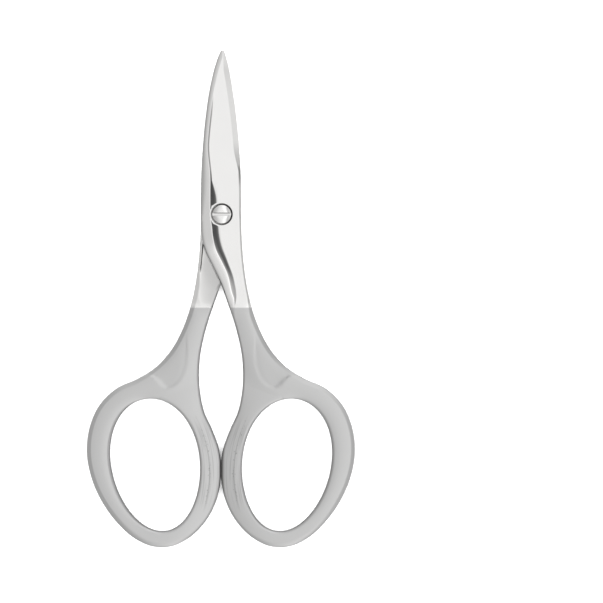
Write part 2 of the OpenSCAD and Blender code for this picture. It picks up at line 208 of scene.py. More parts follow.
class Spline:
    """A smooth curve through points, each tangent weighted by its two chords."""

    def __init__(self, points):
        self.p = np.array(points, float)
        self.h = np.linalg.norm(np.diff(self.p, axis=0), axis=1)
        step = np.diff(self.p, axis=0) / self.h[:, None]
        before, after = self.h[:-1, None], self.h[1:, None]
        inside = (step[1:] * before + step[:-1] * after) / (before + after)
        self.m = np.vstack([step[:1], inside, step[-1:]])

    def at(self, s):
        k = np.clip(np.floor(s).astype(int), 0, len(self.h) - 1)
        t, h = (s - k)[:, None], self.h[k][:, None]
        t2, t3 = t * t, t * t * t
        return (self.p[k] * (2 * t3 - 3 * t2 + 1) + self.m[k] * h * (t3 - 2 * t2 + t)
                + self.p[k + 1] * (3 * t2 - 2 * t3) + self.m[k + 1] * h * (t3 - t2))


class HalfShape:
    """One half in its own frame, in millimetres: pivot at the origin, tip along +Y, joint plane at z = 0.

    A station s runs from -1 at the tip to 0 just below the pivot, to SHANK at the top of the finger
    opening, and on round both sides of the ring to its lower end. The plain numbers that smooth and ramp
    are given with y are places along the half: the joint lies from 8 to -13, and the lap ends at -17.5.
    """
    INNER, OUTER = 0, 1
    SHANK, RING = 10, 10
    # Direction of the ring's top from the middle of the opening, and the turn from one station to the next
    TOP_ANGLE, SWEEP = 105, 18
    # The blade's taper and fullness in plan, its upward bend and its thinning, as powers
    TAPER, FULLNESS, BEND, THINNING = 1.87, 0.7, 1.9, 1.35
    # Shares of the blade's length where it starts to bend and where its tip starts
    BEND_FROM, TIP_FROM = 0.16, 0.64
    # Distance from the pivot to the opening's top that the points of the edges were drawn for
    DRAWN_TOP = 35.1
    # Where the two sides of a half meet, as a share of the way from its inner to its outer edge
    MEET = 0.58
    # Rows of points along the blade, the shank and the ring, and how they crowd towards the tip, as a power
    BLADE_ROWS, SHANK_ROWS, RING_ROWS, CROWDING = 180, 140, 221, 1.35

    # Columns from an edge to the middle: a rounding or the rail, the facet, the flat and the opening's lip
    ROUND = np.radians([np.linspace(0, 90, 11)])
    RAIL = row(0, 0.01, 0.04, 0.09, 0.16, 0.25, 0.42, 0.62, 0.78, 0.9, 1)
    FACET = row(0.04, 0.15, 0.5, 0.78, 0.92, 1)
    FLAT = row(0.006, 0.02, 0.06, 0.14, 0.25, 0.37, 0.5, 0.63, 0.75, 0.86, 0.94, 1)
    LIP = np.radians(row(20, 40, 55, 70, 80, 90))
    AT_EDGE = slice(0, ROUND.size)
    AT_FACET = slice(AT_EDGE.stop, AT_EDGE.stop + FACET.size)
    AT_FLAT = slice(AT_FACET.stop, AT_FACET.stop + FLAT.size)
    # Painted dark reflection over the facet, beside the screw and further down the shank
    FACET_DARK, FACET_SOFT = row(1, 1, 1, 0.95, 0.6, 0.16), row(0.5, 0.8, 1, 0.95, 0.8, 0.4)

    def __init__(self, sizes):
        self.z = sizes
        self.half_t = sizes.joint_t / 2
        self.half_ring = sizes.ring_t / 2
        self.w0 = sizes.joint_w / 2
        self.ring_mid = np.array([sizes.ring_x, -sizes.ring_y])
        self.top = self.hole_at(np.array([self.TOP_ANGLE]))[0]
        self.make_edges()

    # The finger opening and the ring round it
    def turn(self, v, angle):
        """Points of the plane turned about the origin."""
        c, s = math.cos(angle), math.sin(angle)
        return np.stack([v[..., 0] * c - v[..., 1] * s, v[..., 0] * s + v[..., 1] * c], -1)

    def hole_at(self, degrees):
        """Points on the edge of the finger opening, by their direction from its middle."""
        a, z = np.radians(degrees), self.z
        egg = 1 + z.egg * np.sin(a)
        local = np.stack([z.open_w / 2 * np.cos(a) * egg, z.open_l / 2 * np.sin(a)], -1)
        return self.ring_mid + self.turn(local, -z.ring_tilt)

    def rim_point(self, degrees):
        """Points on the ring's outline, straight out from those on the edge of the opening."""
        z = self.z
        d = self.hole_at(degrees + 0.5) - self.hole_at(degrees - 0.5)
        out = np.stack([d[:, 1], -d[:, 0]], -1) / np.linalg.norm(d, axis=1)[:, None]
        right = mix(z.rim_end, z.rim_out, smooth(-55, 30, degrees)) - 0.35 * smooth(45, 75, degrees)
        left = mix(z.rim_end, z.rim_in, smooth(260, 200, degrees)) - 0.55 * smooth(185, 150, degrees)
        rim = np.where(degrees < 100, right, left)
        return self.hole_at(degrees) + rim[:, None] * out

    def from_opening(self, x, y):
        """Distance of a point from the edge of the finger opening."""
        z = self.z
        v = self.turn(np.stack([x, y], -1) - self.ring_mid, z.ring_tilt)
        high = np.clip(v[..., 1] / (z.open_l / 2), -1, 1)
        u, w = v[..., 0] / (z.open_w / 2 * (1 + z.egg * high)), v[..., 1] / (z.open_l / 2)
        level = np.sqrt(u * u + w * w) + 1e-9
        steep = np.sqrt((u / (z.open_w / 2)) ** 2 + (w / (z.open_l / 2)) ** 2) / level
        return np.maximum(0, (level - 1) / steep)

    def make_edges(self):
        """Inner edge, middle and outer edge of the shank and ring, one point a station."""
        z, w, cy = self.z, self.w0, self.z.crotch_y
        down = z.ring_y - z.open_l / 2 - self.DRAWN_TOP
        inner = [
            (-w, -1), (-w + 0.12, -4), (-3.05, -0.52 * cy), (-1.68, -0.74 * cy), (-0.06, -cy),
            (1.14, -cy - 3.35), (2.45, -cy - 7.2), (3.4, -23.8 - down / 2), (3.98, -26.7 - down),
            (4.23, -29.6 - down), (4.2, -32.3 - down), (3.95, -34.6 - down), (3.2, -37.9 - down)]
        outer = [
            (w, -1), (w + 0.07, -3.4), (w + 0.18, -0.45 * cy), (w + 0.4, -0.66 * cy),
            (w + 0.8, -0.91 * cy), (w + 1.45, -cy - 2.45), (w + 2.35, -cy - 5.85),
            (w + 3.5, -22 - down / 2), (8.8, -24.8 - down), (10.5, -27.2 - down),
            (12.6, -29.3 - down)]
        turns = np.arange(1, self.RING + 2) * self.SWEEP
        self.inner = Spline(inner + list(self.rim_point(self.TOP_ANGLE + turns[2:])))
        self.outer = Spline(outer + list(self.rim_point(self.TOP_ANGLE - turns)))
        middle = [mix(np.array(a), np.array(b), self.MEET) for a, b in zip(inner, outer)]
        self.middle = Spline(
            [(0, -1)] + middle[1:self.SHANK - 1] + [(8.6, -30.5 - down), tuple(self.top)])

    # The blade in plan and in elevation
    def blade_w(self, y):
        """Half of the blade's width."""
        t = ramp(self.z.belly_y, self.z.tail_len, y)
        return self.w0 * (1 - t ** self.TAPER) ** self.FULLNESS

    def lean(self, y):
        return self.z.tip_lean * ramp(self.TIP_FROM * self.z.blade_len, self.z.blade_len, y) ** 2

    def curve_t(self, y):
        """How far along the bent part of the blade a place is, as a share."""
        return ramp(self.BEND_FROM * self.z.blade_len, self.z.blade_len, y)

    def mid_z(self, y):
        return self.z.tip_rise * self.curve_t(y) ** self.BEND

    def thick(self, y):
        return mix(self.z.tip_t, self.half_t, (1 - self.curve_t(y)) ** self.THINNING)

    # Widths of the rail, the bevel and the facet beside the rail
    def bevel_here(self, y):
        wide = np.maximum(self.z.bevel_w * smooth(5.3, 13, y), ROUND_W)
        return np.minimum(wide, 0.72 * self.blade_w(y))

    def facet_here(self, y):
        blade = np.maximum(1.08 * smooth(8.4, 2.4, y), 0.26 * smooth(25, 19, y))
        shank = mix(1.08, 0.72, smooth(-6, -11, y)) * self.by_lap_end(-0.6, 3.6, y)
        return self.z.facet_w * np.where(y > 0, blade, shank)

    def rail_here(self, y):
        blade = np.minimum(mix(self.z.rail_w, self.z.strip_w, smooth(6, 14, y)), 1.24 * self.blade_w(y))
        shank = (self.z.rail_w + 0.35 * smooth(0, -3, y) - 0.1 * smooth(-3.5, -7, y)
                 - 0.6 * smooth(-10, -15, y))
        return np.where(y > 0, blade, shank)

    def ridge_x(self, y):
        return smooth(2, 8, y) * (self.rail_here(y) + self.facet_here(y) - self.bevel_here(y)) / 2

    # Heights: the crest of the rail, and how far the ground face lies below it
    def base(self, y):
        z = self.z
        nose = mix(0.45, 1, ramp(z.blade_len, z.blade_len - 2, y) ** 0.6)
        shank = mix(self.half_t, self.half_ring, self.by_lap_end(2.2, 0, y))
        return np.where(y > 0, self.thick(y) * nose, shank)

    def drop(self, y):
        return self.z.face_drop * np.minimum(1, self.facet_here(y) / self.z.facet_w)

    def face(self, y):
        return self.base(y) - self.drop(y)

    def edge_top(self, y):
        full = (self.face(y) - ROUND_H) * ramp(self.TIP_FROM * self.z.blade_len, 3, y)
        return np.maximum(self.z.edge_t + self.z.lap_gap / 2, full)

    # How far along a half a point is, as shares
    def at_end(self, s):
        """1 at the ring's lower end and 0 further up."""
        return smooth(self.SHANK + self.RING - 3.3, self.SHANK + self.RING, s)

    def handle(self, y):
        """1 on the handle and 0 on the joint."""
        return ramp(-self.z.lap_end + 0.5, -self.z.lap_end - 1.5, y)

    def by_lap_end(self, low, high, y):
        """0 at one distance from the end of the lap and 1 at the other, both counted towards the tip."""
        return smooth(-self.z.lap_end + low, -self.z.lap_end + high, y)

    def rounding(self, side, s, y):
        """Width and fall of the rounding along one edge on the outer face, and how far it is a chamfer."""
        z, end = self.z, self.at_end(s)
        if side == self.INNER:
            chamfer = 0 * y
            wide = mix(self.rail_here(y), HANDLE_W, self.by_lap_end(2, -2, y))
            fall = mix(mix(z.rail_h, 0.85, smooth(-3, -7, y)), HANDLE_H, self.by_lap_end(3, -1, y))
            blade = self.rail_here(y), z.rail_h * np.minimum(1, self.base(y) / self.half_t)
        else:
            chamfer = self.by_lap_end(2, -3, y) * (1 - end)
            wide, fall = mix(ROUND_W, CHAMFER_W, chamfer), ROUND_H
            blade = self.bevel_here(y), self.face(y) - self.edge_top(y)
        return (np.where(y > 0, blade[0], mix(wide, END_W, end)),
                np.where(y > 0, blade[1], mix(fall, END_H, end)), chamfer)

    def rail_profile(self, wide, fall, y):
        """Distance from the edge and fall of each column of the rail: small rounding, slanted band, crest."""
        rail = self.by_lap_end(-1.5, 2.5, y)
        t = mix(1 - np.cos(self.ROUND), self.RAIL, rail)
        # Slope of the band at the edge and at the crest, and the share of the width that is rounded
        steep = mix(mix(0.24, 0.22, smooth(-7, -4.5, y)), 0.25, smooth(0, 5, y))
        flat = mix(mix(0.08, 0.21, smooth(-7, -4.5, y)), 0.17, smooth(0, 6, y))
        edge = mix(0.2, 0.5, smooth(-1, 6, y))
        band = wide * (flat * (1 - t) + (steep - flat) * (1 - t) ** 2 / 2)
        rounding = (fall - wide * (steep + flat) / 2) * round_fall(np.clip(1 - t / edge, 0, 1))
        crest = self.crest(y) * np.clip(t / 0.25 - 3, 0, None) ** 2
        return wide * t, mix(fall * round_fall(1 - t), rounding + band + crest, rail)

    def crest(self, y):
        """How far the rail falls again from its crest to the facet."""
        return 0.06 * smooth(-4.5, -7, y) * self.by_lap_end(-1.5, 2.5, y)

    def edge_profile(self, wide, fall, bevel, chamfer):
        """Distance from the edge and fall of each column of a rounding, a straight bevel or a chamfer."""
        a, flat = self.ROUND, self.ROUND / self.ROUND[0, -1]
        across = wide * mix(1 - np.cos(a), flat, bevel)
        down = fall * mix(1 - np.sin(a), 1 - flat, bevel)
        corner, slope = np.minimum(2 * a, a[0, -1]), np.maximum(2 * flat - 1, 0)
        cut_across = CHAMFER_ROUND * (1 - np.cos(corner)) + (wide - CHAMFER_ROUND) * slope
        cut_down = CHAMFER_ROUND * (1 - np.sin(corner)) + CHAMFER_H * (1 - slope) ** 1.15
        return mix(across, cut_across, chamfer), mix(down, cut_down, chamfer)

    def crown(self, side, s, y, t):
        """Fall of the handle's face at a share t of the way from the edge to the middle or the opening."""
        z, n = self.z, self.SHANK
        ring = smooth(n - 3, n, s)
        shank = z.shank_crown * (1 - t) ** 2 * self.by_lap_end(1.5, -3, y)
        if side == self.INNER:
            band = z.ring_lean * (1 - t) ** 2
        else:
            crest = 0.6
            band = z.ring_crown * (
                np.maximum(0, 1 - t / crest) ** 2
                + np.maximum(0, (t - crest) / (1 - crest)) ** 2 * smooth(n, n + 1.5, s))
        return mix(shank, band, ring) * (1 - self.at_end(s)) * (y < 0)

    def columns(self, side, s, y, room):
        """Distance of each column from the edge, its fall, and its fall on the inner face."""
        wide, fall, chamfer = self.rounding(side, s, y)
        wide = np.minimum(wide, 0.9 * room)
        left = room - wide
        if side == self.INNER:
            across, down = self.rail_profile(wide, fall, y)
            facet = mix(np.minimum(self.facet_here(y), 0.9 * left), 0.15 * left,
                        smooth(self.SHANK - 3.5, self.SHANK - 2, s))
        else:
            across, down = self.edge_profile(wide, fall, smooth(-1.5, 1.5, y), chamfer)
            facet = 0.15 * left
        facet = np.maximum(facet, np.minimum(FACET_LEAST, 0.3 * left))
        lip = np.minimum(self.z.lip_w, 0.3 * left) * smooth(self.SHANK - 1, self.SHANK, s)
        foot, brink = wide + facet, room - lip
        d = np.hstack([across, wide + facet * self.FACET, foot + (brink - foot) * self.FLAT,
                       brink + lip * np.sin(self.LIP)])
        drop = np.ones(d.shape) * self.drop(y)
        if side == self.INNER:
            drop[:, self.AT_EDGE] = 0
            drop[:, self.AT_FACET] *= self.FACET ** mix(1, 1.5, smooth(-4, -9, y))
            drop[:, self.AT_FACET] += self.crest(y) * (1 - self.FACET)
        below = np.zeros(d.shape)
        below[:, self.AT_EDGE] = down
        crown = self.crown(side, s, y, d / room)
        return d, below + drop + crown, self.back(side, s, y, d) + crown * self.handle(y)

    def back(self, side, s, y, d):
        """Fall of the rounding or chamfer of the same edge on the inner face, from the lap on."""
        z, end = self.z, self.at_end(s)
        if side == self.INNER:
            wide, fall = mix(HANDLE_W, END_W, end), mix(HANDLE_H, END_H, end)
            into = np.clip(1 - d / wide, 0, 1)
            return fall * round_fall(into) * smooth(-z.crotch_y - 0.2, -z.crotch_y - 1.2, y)
        wide = mix(mix(ROUND_W, CHAMFER_W, smooth(-10, -15, y)), END_W, end)
        into, corner = np.clip(1 - d / wide, 0, 1), np.clip(1 - d / CHAMFER_ROUND, 0, 1)
        slant = mix(1.25, 1, self.handle(y)) * np.clip(
            (wide - np.maximum(d, CHAMFER_ROUND)) / (CHAMFER_W - CHAMFER_ROUND), 0, None)
        chamfer = CHAMFER_ROUND * round_fall(corner) + CHAMFER_H * slant
        return mix(chamfer, END_H * round_fall(into), end) * smooth(-4, -5.5, y)

    def lip(self, x, y):
        """Fall of the rounding along the finger opening."""
        near = np.clip(1 - self.from_opening(x, y) / self.z.lip_w, 0, 1)
        return self.z.lip_fall * round_fall(near)

    def pocket(self, x, y):
        """Depth of the shallow hollow above the ring: creased at the shank, open at the outer edge."""
        from_top = x - self.top[0]
        # The wall follows a quarter of an ellipse on the inner side
        u, v = from_top + 1.66, y - self.top[1] - 8.7
        reach = np.sqrt(np.where(u < 0, u / 3.95, 0) ** 2 + np.where(v < 0, v / 6.6, 0) ** 2)
        floor = mix(0.35, 1, smooth(-5.5, 0, from_top))
        brink = self.top[1] + mix(2, 4.4, smooth(-2.1, 1.5, from_top))
        return (self.z.pocket_d * floor * smooth(1.03, 0.93, reach) * smooth(brink, brink + 0.35, y)
                * smooth(self.top[1] + 13.5, self.top[1] + 9, y))

    def inner_face(self, x, y, edge):
        """Height of the hollow blade, the lap, and the shoulder that rises from a groove to the handle."""
        z = self.z
        blade = (z.lap_gap / 2 + z.hollow * self.base(y) * ramp(1, -0.6, x / self.blade_w(y))
                 * smooth(5, 11, y))
        # Distance in from the outer edge, where the crease lies, and the height of the raised strip
        beside = np.maximum(0, self.w0 + 0.003 * np.maximum(0, -y) ** 2.26 - x)
        crease = 0.62 + 1.75 * ramp(-z.crotch_y, -z.lap_end - 0.5, y) ** 2
        strip = mix(z.brow * smooth(-2.5, -8.4, y), self.half_ring - 0.25, ramp(-10.8, -z.lap_end, y) ** 1.2)
        # The shoulder bows up from the crease, and the strip falls a little towards the edge
        past, bow = np.maximum(0, beside - crease), mix(0.15, 0.6, smooth(-10.5, -12.5, y))
        rise = (z.shoulder * mix(1.35, 0.92, smooth(-12, -14.5, y)) * (past - bow * np.log(1 + past / bow))
                + 0.014 * past ** 2)
        rise = rise * smooth(-4, -6.5, y) - 0.12 * smooth(-13.5, -15, y) * np.maximum(
            0, crease - np.maximum(beside, CHAMFER_W))
        groove = (z.brow * smooth(-3.5, -6, y) * smooth(-11.6, -9.5, y)
                  * smooth(ROUND_W + 0.08, ROUND_W + 0.28, edge))
        proud = 0.02 * ramp(-1, -2.5, y)
        height = mix(strip + rise - groove, self.half_ring, self.by_lap_end(0.7, -0.5, y))
        return np.where(y > 0, blade, z.lap_gap / 2 - np.minimum(
            proud + height, self.half_ring + z.lap_gap / 2))

    def from_crossing(self, x, y):
        """Distance of the inner face from the other half's outline or, past the crotch, from its own, where a
        painted shade line lies.
        """
        z = self.z
        line = self.inner.at(np.linspace(0.5, 6, 80))[::-1]
        across = np.where(line[:, 1] > -z.crotch_y, -line[:, 0], line[:, 0])
        lean = np.interp(y, line[:, 1], np.gradient(across, line[:, 1]))
        away = (x - np.interp(y, line[:, 1], across)) / np.sqrt(1 + lean ** 2)
        above = smooth(-z.crotch_y - 0.4, -z.crotch_y + 0.4, y)
        on_lap = (y < line[-1, 1]) & (y > -z.lap_end - SATIN_PAST)
        return np.where(on_lap, away * mix(0.5, 1, above) + 0.08 * above, FAR)

    def lap_cutter(self):
        """Prism that takes the flat lap out of a half, up to a shoulder along the other half's outline."""
        z, reach, start = self.z, 9, -1.6
        line = [(-x + LAP_CLEAR, y) for x, y in self.inner.at(np.linspace(0.9, 4, 32))]
        out = [(-reach, start), (reach, start), (reach, line[0][1])] + line + [
            (-0.3, -z.crotch_y - 0.7), (-reach, -z.crotch_y - 0.7)]
        count, low, high = len(out), -z.joint_t, z.lap_gap / 2
        points = np.array([(x, y, h) for h in (low, high) for x, y in out])
        sides = [(k, (k + 1) % count, (k + 1) % count + count, k + count) for k in range(count)]
        return points, sides + [tuple(range(count)), tuple(range(count, 2 * count))]

    def shade(self, side, y, hollow):
        """Painted darkness of the outer face: a dark reflection on the facet, painted shade beside it and
        along the outer edge, and painted shade in the pocket.
        """
        dark = np.zeros(hollow.shape)
        if side == self.INNER:
            shares = mix(self.FACET_DARK, self.FACET_SOFT, smooth(-3, -9, y))
            fade = (mix(0.68, 1, smooth(-14.5, -9.5, y)) * mix(1, 0.7, smooth(6.5, 9, y))
                    * mix(1, 0.3, smooth(18, 25, y)))
            # Painted dark reflection on the facet
            dark[:, self.AT_FACET] = shares * fade * smooth(0, 0.06, self.drop(y))
            near = smooth(-15, -11, y) * smooth(7, 4, y)
            # Painted shade on the flat beside the facet
            dark[:, self.AT_FLAT] = near * 0.16 * (1 - np.minimum(1, self.FLAT / 0.3))
        else:
            # Painted shade along the outer edge
            dark[:, :self.AT_EDGE.stop - 1] = 0.3 * smooth(14.5, 10, y) * self.by_lap_end(-0.5, 0.5, y)
        # Painted shade on the floor of the pocket
        return np.maximum(dark, 0.08 * np.minimum(1, hollow / (0.3 * self.z.pocket_d)))

    def side(self, side, s, edge, middle, bend):
        """Outer and inner skin from one edge to the middle: points, painted darkness, distance from a painted
        shade line.
        """
        z, room = self.z, np.linalg.norm(middle - edge, axis=1)[:, None]
        s, y0 = s[:, None], middle[:, 1:]
        d, fall, back = self.columns(side, s, y0, room)
        p = edge[:, None] + (middle - edge)[:, None] * (d / room)[..., None]
        x, y = p[..., 0], p[..., 1]
        lip = np.where(s > self.SHANK - 3, self.lip(x, y), 0)
        hollow = self.pocket(x, y)
        high = self.base(y0) - fall - lip - hollow
        if side == self.INNER:
            low = self.inner_face(x, y, room + 0 * d)
            groove = np.zeros(d.shape)
            # Distance from the half's own inner edge on the shank, where a painted shade line lies
            own_edge = d + FAR * (1 - smooth(-3.5, -6, y) * self.by_lap_end(-3, -SATIN_PAST, y))
        else:
            low = self.inner_face(x, y, d)
            # Painted shade along the groove near the outer edge of the inner face
            groove = (0.55 * smooth(0.38, 0.46, d) * smooth(0.72, 0.6, d)
                      * smooth(-4, -5.5, y) * smooth(-11.8, -10, y))
            own_edge = FAR + 0 * d
        low = low + back + lip + hollow
        end = -z.ring_y - z.open_l / 2 - z.rim_end
        ring_rise = z.ring_bend * ramp(-z.ring_y + 4, end, y) ** 2
        rise = bend * np.where(y > 0, self.mid_z(y), ring_rise)
        # Distance from the other half's outline, where a painted shade line lies along the crossing
        crossing = self.from_crossing(x, y)
        x = x + bend * self.lean(y)
        return ((np.stack([x, y, high + rise], -1), self.shade(side, y0, hollow), own_edge),
                (np.stack([x, y, low + rise], -1), groove, crossing))

    def stations(self):
        """Station numbers, and the inner edge, the middle seen from either side and the outer edge there."""
        tip = np.linspace(0, 1, self.BLADE_ROWS, endpoint=False)
        y = mix(-1, self.z.blade_len, 1 - tip ** self.CROWDING)
        w, ridge = self.blade_w(y), self.ridge_x(y)
        blade = [np.stack([a, y], -1) for a in (-w, ridge, ridge, w)]
        s = np.linspace(0, self.SHANK, self.SHANK_ROWS, endpoint=False)
        shank = [self.inner.at(s), self.middle.at(s), self.middle.at(s), self.outer.at(s)]
        r = np.linspace(0, self.RING, self.RING_ROWS)
        turn = r * self.SWEEP
        rims = [self.inner.at(r + self.SHANK), self.outer.at(r + self.SHANK)]
        for rim in rims:
            rim[:, 0] = np.maximum(rim[:, 0], self.z.stop_gap / 2)
        ring = [rims[0], self.hole_at(self.TOP_ANGLE + turn), self.hole_at(self.TOP_ANGLE - turn), rims[1]]
        return (np.concatenate([tip - 1, s, r + self.SHANK]),
                [np.vstack(parts) for parts in zip(blade, shank, ring)])


def strip_quads(a, b):
    """Quads between two rows or grids of vertex numbers that lie beside each other."""
    return np.stack([a[:-1], b[:-1], b[1:], a[1:]], -1).reshape(-1, 4)


def half_mesh(shape, bend):
    """Vertices and faces of one half in its own frame, and the painted darkness of each vertex and its
    distance from a painted shade line.
    """
    s, (inner, inner_mid, outer_mid, outer) = shape.stations()
    ring, skins, faces, start = s >= shape.SHANK, [], [], 0
    for side, edge, middle in ((shape.INNER, inner, inner_mid), (shape.OUTER, outer, outer_mid)):
        both = shape.side(side, s, edge, middle, bend)
        rows, cols = both[0][0].shape[:2]
        number = start + np.arange(2 * rows * cols).reshape(2, rows, cols)
        for skin in number:
            faces += [strip_quads(skin[:, k], skin[:, k + 1]) for k in range(cols - 1)]
        # The two skins are joined along the edge, round the opening and at the tip
        for high, low in ((number[0, :, 0], number[1, :, 0]), (number[0, ring, -1], number[1, ring, -1]),
                          (number[0, 0], number[1, 0])):
            faces.append(strip_quads(high, low))
        skins += both
        start += 2 * rows * cols
    points, dark, far = zip(*skins)
    return (np.vstack([grid.reshape(-1, 3) for grid in points]), np.vstack(faces),
            np.concatenate([grid.ravel() for grid in dark]), np.concatenate([grid.ravel() for grid in far]))


def revolved(profile):
    """Vertices and faces of a profile of (radius, height) points from axis to axis, turned about Z."""
    angle = np.arange(TURN_STEPS) * 2 * math.pi / TURN_STEPS
    r, z = np.array(profile, float).T
    points = np.stack([np.outer(r, np.cos(angle)), np.outer(r, np.sin(angle)),
                       np.outer(z, np.ones(TURN_STEPS))], -1)
    number = np.arange(len(r) * TURN_STEPS).reshape(len(r), TURN_STEPS)
    round_again = np.hstack([number, number[:, :1]])
    faces = [strip_quads(a, b) for a, b in zip(round_again, round_again[1:])]
    return points.reshape(-1, 3), np.vstack(faces)


def mesh_object(name, points, faces, **attributes):
    """An object at the origin from points in millimetres, with doubles merged and faces outwards."""
    mesh = bpy.data.meshes.new(name)
    mesh.from_pydata((points * MM).tolist(), [], [list(face) for face in faces])
    for label, values in attributes.items():
        mesh.attributes.new(label, "FLOAT", "POINT").data.foreach_set("value", values.astype(np.float32))
    work = bmesh.new()
    work.from_mesh(mesh)
    bmesh.ops.remove_doubles(work, verts=work.verts, dist=WELD * MM)
    bmesh.ops.dissolve_degenerate(work, edges=work.edges, dist=WELD * MM)
    bmesh.ops.recalc_face_normals(work, faces=work.faces)
    work.to_mesh(mesh)
    work.free()
    mesh.polygons.foreach_set("use_smooth", [True] * len(mesh.polygons))
    made = bpy.data.objects.new(name, mesh)
    bpy.context.scene.collection.objects.link(made)
    return made


def as_plain_mesh(made):
    """The object's mesh as its modifiers leave it, with the modifiers gone."""
    bpy.context.view_layer.update()
    seen = made.evaluated_get(bpy.context.evaluated_depsgraph_get())
    plain = bpy.data.meshes.new_from_object(seen)
    made.modifiers.clear()
    made.data = plain
    plain.name = made.name


def cut(made, points, faces):
    """Takes a closed shape, given in millimetres, away from an object."""
    tool = mesh_object("cutter", points, faces)
    step = made.modifiers.new("cut", "BOOLEAN")
    step.operation, step.solver, step.object = "DIFFERENCE", "EXACT", tool
    as_plain_mesh(made)
    bpy.data.objects.remove(tool)
    made.data.set_sharp_from_angle(angle=math.radians(30))


def operator_pair(operation):
    """A wire's operator and its reflected form, both of which add a Math node."""
    return (lambda wire, other: wire.graph.math(operation, wire, other),
            lambda wire, other: wire.graph.math(operation, other, wire))


class Wire:
    """An output of a node. Sums and products of wires and numbers add their Math nodes."""

    def __init__(self, graph, socket):
        self.graph, self.socket = graph, socket

    def math(self, operation, *others):
        return self.graph.math(operation, self, *others)

    __add__, __radd__ = operator_pair("ADD")
    __sub__, __rsub__ = operator_pair("SUBTRACT")
    __mul__, __rmul__ = operator_pair("MULTIPLY")
    __truediv__, __rtruediv__ = operator_pair("DIVIDE")


class Graph:
    """Adds nodes to a shader, world or geometry tree."""

    def __init__(self, tree):
        self.tree = tree

    def add(self, kind, settings=None, inputs=None, output=0):
        """A new node with its settings, and the values or wires of its inputs."""
        node = self.tree.nodes.new(kind)
        for name, value in (settings or {}).items():
            if name == "stops":
                self.set_stops(node.color_ramp, value)
            else:
                setattr(node, name, value)
        for key, value in (inputs or {}).items():
            self.put(node.inputs[key], value)
        return Wire(self, node.outputs[output]) if len(node.outputs) else node

    def put(self, socket, value):
        """Links a wire to an input, or sets the input's value."""
        if isinstance(value, Wire):
            self.tree.links.new(value.socket, socket)
        else:
            socket.default_value = value

    def math(self, operation, *values):
        return self.add("ShaderNodeMath", {"operation": operation}, dict(enumerate(values)))

    def vector(self, operation, *values, output=0):
        return self.add("ShaderNodeVectorMath", {"operation": operation}, dict(enumerate(values)), output)

    def join(self, x=0.0, y=0.0, z=0.0):
        """A vector from its parts."""
        return self.add("ShaderNodeCombineXYZ", inputs={"X": x, "Y": y, "Z": z})

    def parts(self, vector):
        """X, Y and Z of a vector."""
        node = self.add("ShaderNodeSeparateXYZ", inputs={0: vector}).socket.node
        return [Wire(self, socket) for socket in node.outputs]

    def noise(self, at, scale, detail):
        """Cloudy noise round 0.5."""
        return self.add("ShaderNodeTexNoise", inputs={"Vector": at, "Scale": scale, "Detail": detail})

    def ramp(self, value, low, high):
        """0 at low and 1 at high, straight in between."""
        return self.add("ShaderNodeMapRange", inputs={"Value": value, "From Min": low, "From Max": high})

    def blend(self, share, first, second):
        """A mix of two colours."""
        return self.add("ShaderNodeMix", {"data_type": "RGBA"}, {0: share, 6: first, 7: second}, output=2)

    def attribute(self, name):
        """A number that the mesh carries at each of its points."""
        return self.add("ShaderNodeAttribute", {"attribute_name": name}, output="Fac")

    def choose(self, index, values):
        """The value with the given number."""
        node = self.add("GeometryNodeIndexSwitch", {"data_type": "FLOAT"}, {0: index}).socket.node
        while len(node.index_switch_items) < len(values):
            node.index_switch_items.new()
        for socket, value in zip(node.inputs[1:], values):
            self.put(socket, value)
        return Wire(self, node.outputs[0])

    @staticmethod
    def set_stops(ramp, stops):
        """Greys of a colour ramp, each with its place."""
        while len(ramp.elements) < len(stops):
            ramp.elements.new(1)
        for element, (position, grey) in zip(ramp.elements, stops):
            element.position = position
            element.color = (grey, grey, grey, 1)


def rgba(colour, share=1):
    """A colour, or a darker share of it, as a node takes it."""
    return (*(part * share for part in colour), 1)


class Metal(Graph):
    """The tree of a metal finish, with the place on the piece and round the screw's axis in millimetres."""

    # The side where painted shade lies thickest, its share all round, and what that side adds
    GRIME_SIDE, GRIME_EVEN, GRIME_SIDED = (0.9, 0.44, 0), 0.82, 0.18

    def __init__(self, name):
        self.material = bpy.data.materials.new(name)
        self.material.use_nodes = True
        super().__init__(self.material.node_tree)
        self.tree.nodes.clear()
        place = self.add("ShaderNodeTexCoord", output="Object")
        self.place = self.add("ShaderNodeVectorMath", {"operation": "SCALE"}, {0: place, "Scale": 1 / MM})
        self.centred = self.vector("SUBTRACT", self.place, tuple(PIVOT / MM))
        flat = self.vector("MULTIPLY", self.centred, (1, 1, 0))
        self.radius = self.vector("LENGTH", flat, output="Value")
        along = self.vector("DOT_PRODUCT", flat, self.GRIME_SIDE, output="Value") / self.radius
        self.grime_share = self.GRIME_EVEN + along * self.GRIME_SIDED

    def finish(self, tint, rough, height, strength, depth):
        """The material, with its bump of a depth in millimetres."""
        bump = self.add("ShaderNodeBump", inputs={
            "Height": height, "Strength": strength, "Distance": depth * MM})
        shader = self.add("ShaderNodeBsdfPrincipled", inputs={
            "Base Color": tint, "Roughness": rough, "Metallic": 1.0, "Normal": bump})
        self.add("ShaderNodeOutputMaterial", inputs={"Surface": shader})
        return self.material


